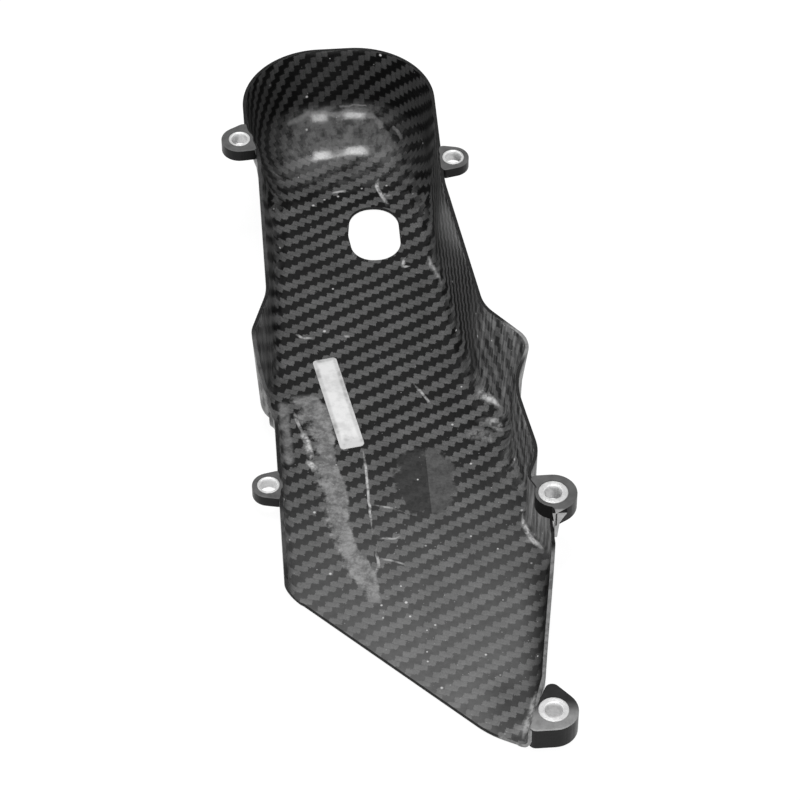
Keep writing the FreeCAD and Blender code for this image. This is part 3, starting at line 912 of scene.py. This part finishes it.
class Carbon(Shades):
    """The nodes of the carbon laminate: black twill in worn clear resin."""

    def __init__(self, tree, weave, stroke, dust):
        super().__init__(tree)
        self.stroke, self.dust = stroke, dust
        self.spot = self.millimetres()
        self.x, self.y, self.z = self.add("ShaderNodeSeparateXYZ", self.spot).outputs
        flat = self.add("ShaderNodeUVMap", uv_map="cloth_flat").outputs[0]
        self.risen = self.add("ShaderNodeUVMap", uv_map="cloth_risen").outputs[0]
        self.wall = self.attribute("wall_share")
        lying = self.use(weave, Lie=flat, Pitch=TOW_PITCH, Turn=FLOOR_TURN, Wander=TOW_WANDER)
        turned = self.scale(self.math("GREATER_THAN", self.y, SIDES_BEGIN), 2.0, -1.0)
        mirror = self.add("ShaderNodeCombineXYZ", turned, 1.0, 1.0).outputs[0]
        lie = self.vector("MULTIPLY", self.risen, mirror)
        rising = self.use(weave, Lie=lie, Pitch=TOW_PITCH, Turn=WALL_TURN, Wander=TOW_WANDER)
        self.weft, self.height, self.streak = [
            self.mix(self.wall, lying[k], rising[k]) for k in ("Weft", "Height", "Streak")]
        self.cloud = self.noise(self.spot, 0.3, 4.0, 0.65)
        self.fine = self.noise(self.spot, 0.9, 3.0, 0.7)

    def near(self, points, half, wobble=0.9):
        """A mask along a broken line: 1 on it, 0 from half its width outwards."""
        found = 0.0
        for start, end in zip(points, points[1:]):
            away = self.use(self.stroke, Place=self.spot, Start=start, End=end, Wobble=wobble)["Away"]
            found = self.most(found, self.ramp(away, 0.35 * half, half, 1.0, 0.0))
        return found

    def cloth_grey(self):
        """The twill's grey with a painted sheen on the weft, uneven from place to place; streaks up the lobe
        walls, partly drawn cloth and partly painted reflection; painted light on the lobes and in the scoop;
        painted shade towards the round end and in the low right corner.
        """
        shade = self.scale(self.streak, 0.5, 0.75)
        patch = self.scale(self.noise(self.spot, 0.07, 6.0, 0.72), 1.5, 0.25)
        grain = self.scale(self.noise(self.spot, 1.6, 3.0, 0.75), 1.5, 0.25)
        crown = self.scale(self.ramp(self.height, 0.0, 0.45), 0.55, 0.45)
        light = self.times(self.times(self.times(crown, grain), shade), patch)
        # Painted sheen on the weft tows, painted shade on the warp tows
        level = self.times(light, self.mix(self.weft, WARP_SHADED_GREY, WEFT_SHEEN_GREY))
        self.drawn = self.noise(self.vector("MULTIPLY", self.risen, (0.9, 0.05, 1.0)), 1.0, 3.0, 0.65)
        lobes = self.times(self.wall, self.ramp(self.y, *LOBES_BEGIN))
        scoop = self.times(self.ramp(self.y, *SCOOP_BEGIN), self.ramp(self.y, *SCOOP_END))
        # Painted reflection: pale streaks up the lobe walls, partly drawn cloth; painted light raises them in
        # the shaded scoop
        streaks_and_reflections = self.ramp(self.drawn, 0.4, 0.72, self.mix(scoop, 0.02, 0.05), 0.2)
        level = self.mix(self.times(lobes, self.mix(scoop, 0.55, 0.95)), level, streaks_and_reflections)
        # Painted shade on the walls, darkest at the round end, and painted light on the lobe walls
        painted_shade_and_light = self.ramp(self.y, *END_PAINTED_SHADE, self.ramp(self.y, *LOBE_PAINTED_LIGHT, 1.0, LOBE_SHARE), END_SHARE)
        away = self.less(self.scale(self.y, LOW_WALL_SLOPE, LOW_WALL_X), self.x)
        # Painted shade on the floor along the corner of the low right wall
        self.corner_shade = self.times(self.ramp(self.y, *CORNER_SHADE_BEGIN), self.ramp(away, CORNER_SHADE_REACH, 1.0))
        painted_shade_and_light = self.mix(self.corner_shade, painted_shade_and_light, CORNER_SHADE_SHARE)
        return self.times(level, self.mix(self.most(self.wall, self.corner_shade), 1.0, painted_shade_and_light))

    def curve(self, value, points):
        """A smooth line through points, both ways between 0 and 1."""
        node = self.add("ShaderNodeFloatCurve")
        self.feed(node.inputs["Value"], value)
        line = node.mapping.curves[0]
        line.points[0].location, line.points[-1].location = points[0], points[-1]
        for place in points[1:-1]:
            line.points.new(*place)
        node.mapping.update()
        return node.outputs[0]

    def inner_face(self):
        """The floor's inner face, and not the outer one below it."""
        return self.math("GREATER_THAN", self.z, WALL / 2)

    def smear_share(self):
        """The smear: crisp on its right, ragged on its left, with a gouge left clear in it."""
        top, low = SMEAR[0][1], SMEAR[-1][1]
        left, right = min(x for x, y, half in SMEAR), max(x for x, y, half in SMEAR)
        shares = [(y - top) / (low - top) for x, y, half in SMEAR]
        way = self.math("DIVIDE", self.less(self.y, top), low - top)
        middles = [(x - left) / (right - left) for x, y, half in SMEAR]
        middle = self.scale(self.curve(way, list(zip(shares, middles))), right - left, left)
        half = self.curve(way, list(zip(shares, [half / SMEAR_REACH for x, y, half in SMEAR])))
        across = self.less(self.x, middle)
        wide = self.times(half, SMEAR_REACH)
        depth = self.less(1.0, self.math("DIVIDE", self.math("ABSOLUTE", across), wide))
        crisp = self.math("GREATER_THAN", across, 0.0)
        ragged = self.times(self.less(self.cloud, 0.5), self.mix(crisp, 2.2, 0.6))
        found = self.ramp(self.math("ADD", depth, ragged), 0.0, self.mix(crisp, 0.6, 0.22))
        ends = self.times(self.ramp(self.y, top, top - 3.0), self.ramp(self.y, low, low + 6.0))
        found = self.most(self.times(found, ends), self.times(self.near(SMEAR_BAND, BAND_HALF), 0.7))
        found = self.times(found, self.less(1.0, self.near(GOUGE, GOUGE_HALF, 2.0)))
        return self.times(self.times(found, self.ramp(self.z, 6.0, 3.0)), self.inner_face())

    def stain_share(self):
        """The round stain."""
        x, y, half_x, half_y = STAIN
        arms = []
        for place, middle, half in ((self.x, x, half_x), (self.y, y, half_y)):
            share = self.math("DIVIDE", self.less(place, middle), half)
            arms.append(self.math("POWER", self.math("ABSOLUTE", share), 2.6))
        ragged = self.scale(self.less(self.cloud, 0.5), 2.2, self.math("ADD", *arms))
        found = self.times(self.ramp(ragged, 1.15, 0.8), self.ramp(self.z, 3.0, 2.0))
        return self.times(found, self.inner_face())

    def marks_and_glints(self):
        """Scratches, scuffs, dust and painted highlights."""
        many = self.ramp(self.y, 0.0, -70.0, 0.18, 0.6)
        specks = self.use(self.dust, Place=self.spot, Grain=0.24, Amount=many)["Speck"]
        grains = self.use(self.dust, Place=self.spot, Grain=0.55, Amount=many)["Speck"]
        found = self.most(self.times(specks, 0.9), self.times(grains, 0.3))
        broken = self.ramp(self.noise(self.spot, 0.4, 3.0, 0.65), 0.36, 0.6, 0.2, 1.0)
        return self.most(found, self.times(self.attribute("pale_mark"), broken))

    def ridges_and_glints(self):
        """Wrinkles in the resin of the end's rounding, for their bumps and their painted highlights."""
        found = 0.0
        for points, half in WRINKLES:
            found = self.most(found, self.near(points, half, 2.2))
        return found

    def film_and_sheen_share(self):
        """The grey over the lower floor, partly hazy resin and partly a painted sheen, away from the walls
        and the painted corner shade.
        """
        veil_and_sheen = self.times(self.ramp(self.y, *FILM_SHEEN_SPREAD), self.scale(self.cloud, 0.8, 0.6))
        tip = self.times(self.ramp(self.x, *TIP_X), self.ramp(self.y, *TIP_Y))
        bare = self.most(self.most(self.wall, self.corner_shade), self.times(tip, TIP_CLEAR))
        return self.times(self.times(veil_and_sheen, self.less(1.0, bare)), FILM_SHEEN_SHARE)

    def ear_grey(self):
        """The rubbed faces of the ears, pale at the front of the two on the right, with painted shade on the
        lower right one's top behind its front.
        """
        web = self.times(self.ramp(self.y, *WEB_FRONT, 0.0, WEB_PALE), self.ramp(self.y, *WEB_END))
        front = self.most(self.times(self.ramp(self.y, *LOW_EAR_FRONT), LOW_EAR_PALE), web)
        # Painted shade: the lower right ear's top is painted dark behind its pale front
        level = self.scale(front, 0.9, self.ramp(self.y, *LOW_EAR_SHADE, 0.02, 0.1))
        return self.times(level, self.scale(self.cloud, 1.2, 0.4))


def carbon_finish(weave, stroke, dust):
    """Black twill in worn clear resin, with cut edges, rubbed ears, a smear, a stain, marks and dust, and
    painted sheen, highlights, reflections, light and shade.
    """
    material, tree, shader = new_material("carbon_laminate")
    s = Carbon(tree, weave, stroke, dust)
    edge, rubbed, resin = [s.attribute(name) for name in ("cut_edge", "rubbed_face", "shaded_resin")]
    level = s.cloth_grey()
    # Painted sheen, partly hazy resin: the lower floor is painted paler grey
    level = s.mix(s.film_and_sheen_share(), level, FILM_SHEEN_GREY)
    pool = s.times(s.ramp(s.y, *POOL_Y), s.ramp(s.z, *POOL_Z))
    middle = s.ramp(s.math("ABSOLUTE", s.less(s.x, HIGHLIGHT_X)), *HIGHLIGHT_FADE)
    # Painted highlight: a pale patch in the middle of the end's rounding
    painted_highlight = s.times(s.times(pool, middle), s.ramp(s.cloud, 0.38, 0.62, 0.04, 0.34))
    level = s.mix(painted_highlight, level, HIGHLIGHT_GREY)
    stain = s.stain_share()
    mottle = s.scale(s.fine, 1.2, s.scale(s.cloud, 1.2, -0.2))
    stain_grey = s.times(s.mix(s.math("GREATER_THAN", s.x, STAIN_SPLIT), *STAIN_GREYS), mottle)
    level = s.mix(s.times(stain, 0.9), level, stain_grey)
    smear = s.smear_share()
    smear_grey = s.ramp(s.mix(0.35, s.cloud, s.fine), 0.36, 0.64, *SMEAR_GREYS)
    level = s.mix(s.times(smear, 0.9), level, smear_grey)
    ridges_and_glints = s.ridges_and_glints()
    # Painted highlight: the ridges are painted pale
    level = s.mix(s.times(ridges_and_glints, s.times(s.fine, 0.8)), level, 0.3)
    marks = s.marks_and_glints()
    # Pale marks, three of them painted highlights
    level = s.mix(marks, level, MARK_AND_GLINT_GREY)
    worn = s.times(s.attribute("rim_wear"), s.ramp(s.cloud, 0.3, 0.6, 0.35, 1.0))
    level = s.mix(edge, level, s.scale(worn, 0.26, s.times(s.fine, 0.03)))
    level = s.mix(rubbed, level, s.ear_grey())
    # Painted shade: the bare resin faces are painted near black
    s.paint(shader, s.mix(resin, level, RESIN_SHADE_GREY))
    rough = s.scale(s.noise(s.spot, 0.12, 4.0, 0.6), 0.25, 0.2)
    dull = s.most(s.most(smear, stain), s.most(edge, rubbed))
    s.feed(shader.inputs["Roughness"], s.mix(dull, rough, 0.6))
    shader.inputs["Specular IOR Level"].default_value = 0.12
    coat = s.mix(pool, s.mix(s.wall, 0.14, 0.02), 1.0)
    s.feed(shader.inputs["Coat Weight"], s.mix(s.most(resin, dull), coat, 0.0))
    shader.inputs["Coat Roughness"].default_value = 0.18
    swell = s.scale(s.noise(s.spot, 0.17, 4.0, 0.6), 1.7, s.times(s.height, 0.5))
    swell = s.scale(marks, 0.5, swell)
    swell = s.scale(s.times(s.drawn, s.wall), 0.8, swell)
    s.emboss(shader, s.scale(ridges_and_glints, 3.6, swell), 0.35, 0.25)
    return material


def sleeve_finish():
    """Turned aluminium: fine rings round the axis, dulled in places, with painted light in the bore."""
    material, tree, shader = new_material("sleeve_metal")
    s = Shades(tree)
    reach = s.math("DIVIDE", s.attribute("turn_radius"), MM)
    rings = s.math("SINE", s.times(reach, 34.0))
    wear = s.noise(s.millimetres(), 0.9, 4.0, 0.65)
    # Painted light: the bore is painted half as pale again
    bore = s.math("LESS_THAN", reach, SLEEVE_BORE + 0.2)
    s.paint(shader, s.times(s.scale(wear, 0.35, 0.4), s.mix(bore, 1.0, 1.5)))
    shader.inputs["Metallic"].default_value = 0.25
    s.feed(shader.inputs["Roughness"], s.scale(wear, 0.3, 0.22))
    s.emboss(shader, s.math("ADD", rings, wear), 0.2, 0.05)
    return material


def label_finish(dust):
    """Matt white label: faint fibres, greyer near its edges and lower end, and specks, bare of words."""
    material, tree, shader = new_material("label_paper")
    s = Shades(tree)
    spot = s.millimetres()
    soil = s.ramp(s.noise(spot, 0.25, 4.0, 0.6), 0.42, 0.7)
    fibre = s.noise(spot, 4.0, 3.0, 0.7)
    level = s.less(s.scale(fibre, 0.08, 0.78), s.times(soil, 0.16))
    x, y, width, length, angle = LABEL
    lie = s.add("ShaderNodeVectorRotate", s.vector("SUBTRACT", spot, (x, y, 0.0)), rotation_type="Z_AXIS")
    lie.inputs["Angle"].default_value = -math.radians(angle)
    across, far, up = s.add("ShaderNodeSeparateXYZ", lie.outputs[0]).outputs
    inside = s.math("MINIMUM", s.less(width / 2, s.math("ABSOLUTE", across)),
                    s.less(length / 2, s.math("ABSOLUTE", far)))
    # Greyer near the label's edges and towards its lower end
    greyer_rim = s.most(s.ramp(inside, 0.7, 1.7, 0.24, 0.0), s.ramp(far, -13.0, -18.0, 0.0, 0.24))
    level = s.less(level, s.times(greyer_rim, s.scale(soil, 0.5, 0.8)))
    speck = s.use(dust, Place=spot, Grain=0.7, Amount=0.12)["Speck"]
    s.paint(shader, s.mix(s.times(speck, 0.6), level, 0.3))
    s.feed(shader.inputs["Roughness"], s.scale(fibre, 0.2, 0.5))
    s.emboss(shader, s.math("ADD", fibre, soil), 0.15, 0.05)
    return material


dust = dust_group()
shell = build_shell()
shell.data.materials.append(carbon_finish(twill_group(), stroke_group(), dust))
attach(shell, "root")
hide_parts("cover_shell")

metal = sleeve_finish()
sleeve_tree = build_sleeve_tree()
for name, (x, y, tip, outer, top, thick, heading, flare) in EARS.items():
    low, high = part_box(name + "_sleeve")
    length = (high[2] - low[2]) / MM
    middle = (x, y, low[2] / MM + length / 2)
    sleeve = turn_sleeve(sleeve_tree, name + "_turned_sleeve", outer, middle, length, metal)
    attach(sleeve, "root")
    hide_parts(name + "_sleeve")

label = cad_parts["blank_label"]
label.data.materials.clear()
label.data.materials.append(label_finish(dust))

# Camera and studio
CAMERA_PLACE, CAMERA_AIM = (-54.65, -730.2, 792.8), (1.45, 7.0, 0.0)
SENSOR, LENS = 36.0, 156.4
FLOOR_GREY, FLOOR_GLOW, FLOOR_SEEN = 0.62, 1.16, 0.8
SKY_STRENGTH = 0.6
# Soft lamps: place and aim in metres, width, depth and power
LAMPS = {
    "overhead": ((0.0, 0.2, 1.2), (0.0, 0.0, 0.0), 0.42, 0.42, 6.8),
    "front": ((-0.2, -1.3, 0.18), (0.0, 0.1, 0.0), 1.2, 0.45, 15.0),
}


def place_at(thing, place, aim):
    """Puts a camera or lamp in the scene, turned to what it looks at."""
    thing.location = place
    thing.rotation_euler = (Vector(aim) - thing.location).to_track_quat("-Z", "Y").to_euler()
    bpy.context.scene.collection.objects.link(thing)


def pale_floor():
    """A pale floor that keeps its shadow and looks white to the camera and in reflections."""
    material, tree, shader = new_material("studio_floor")
    s = Shades(tree)
    shader.inputs["Base Color"].default_value = grey(FLOOR_GREY)
    shader.inputs["Roughness"].default_value = 0.9
    glow = s.add("ShaderNodeEmission")
    glow.inputs["Strength"].default_value = FLOOR_GLOW
    rays = s.add("ShaderNodeLightPath").outputs
    mirrored = s.most(rays["Is Glossy Ray"], rays["Is Transmission Ray"])
    seen = s.times(s.most(rays["Is Camera Ray"], mirrored), FLOOR_SEEN)
    blend = s.add("ShaderNodeMixShader", seen, shader.outputs[0], glow.outputs[0])
    s.feed(tree.nodes["Material Output"].inputs[0], blend.outputs[0])
    return material


camera_data = bpy.data.cameras.new("camera")
camera_data.sensor_width = SENSOR
camera_data.lens = LENS
camera_data.clip_end = 20.0
camera = bpy.data.objects.new("camera", camera_data)
place_at(camera, Vector(CAMERA_PLACE) * MM, Vector(CAMERA_AIM) * MM)
bpy.context.scene.camera = camera
bpy.context.scene.view_settings.view_transform = "Standard"

for name, (place, aim, width, depth, power) in LAMPS.items():
    lamp_data = bpy.data.lights.new(name, "AREA")
    lamp_data.shape = "RECTANGLE"
    lamp_data.size, lamp_data.size_y, lamp_data.energy = width, depth, power
    place_at(bpy.data.objects.new(name, lamp_data), place, aim)

bpy.ops.mesh.primitive_plane_add(size=6.0, location=(0, 0, -0.0002))
ground = bpy.context.object
ground.name = "studio_floor"
ground.data.materials.append(pale_floor())

world = bpy.data.worlds.new("studio")
bpy.context.scene.world = world
world.use_nodes = True
sky = world.node_tree.nodes["Background"]
sky.inputs["Color"].default_value = grey(1.0)
sky.inputs["Strength"].default_value = SKY_STRENGTH
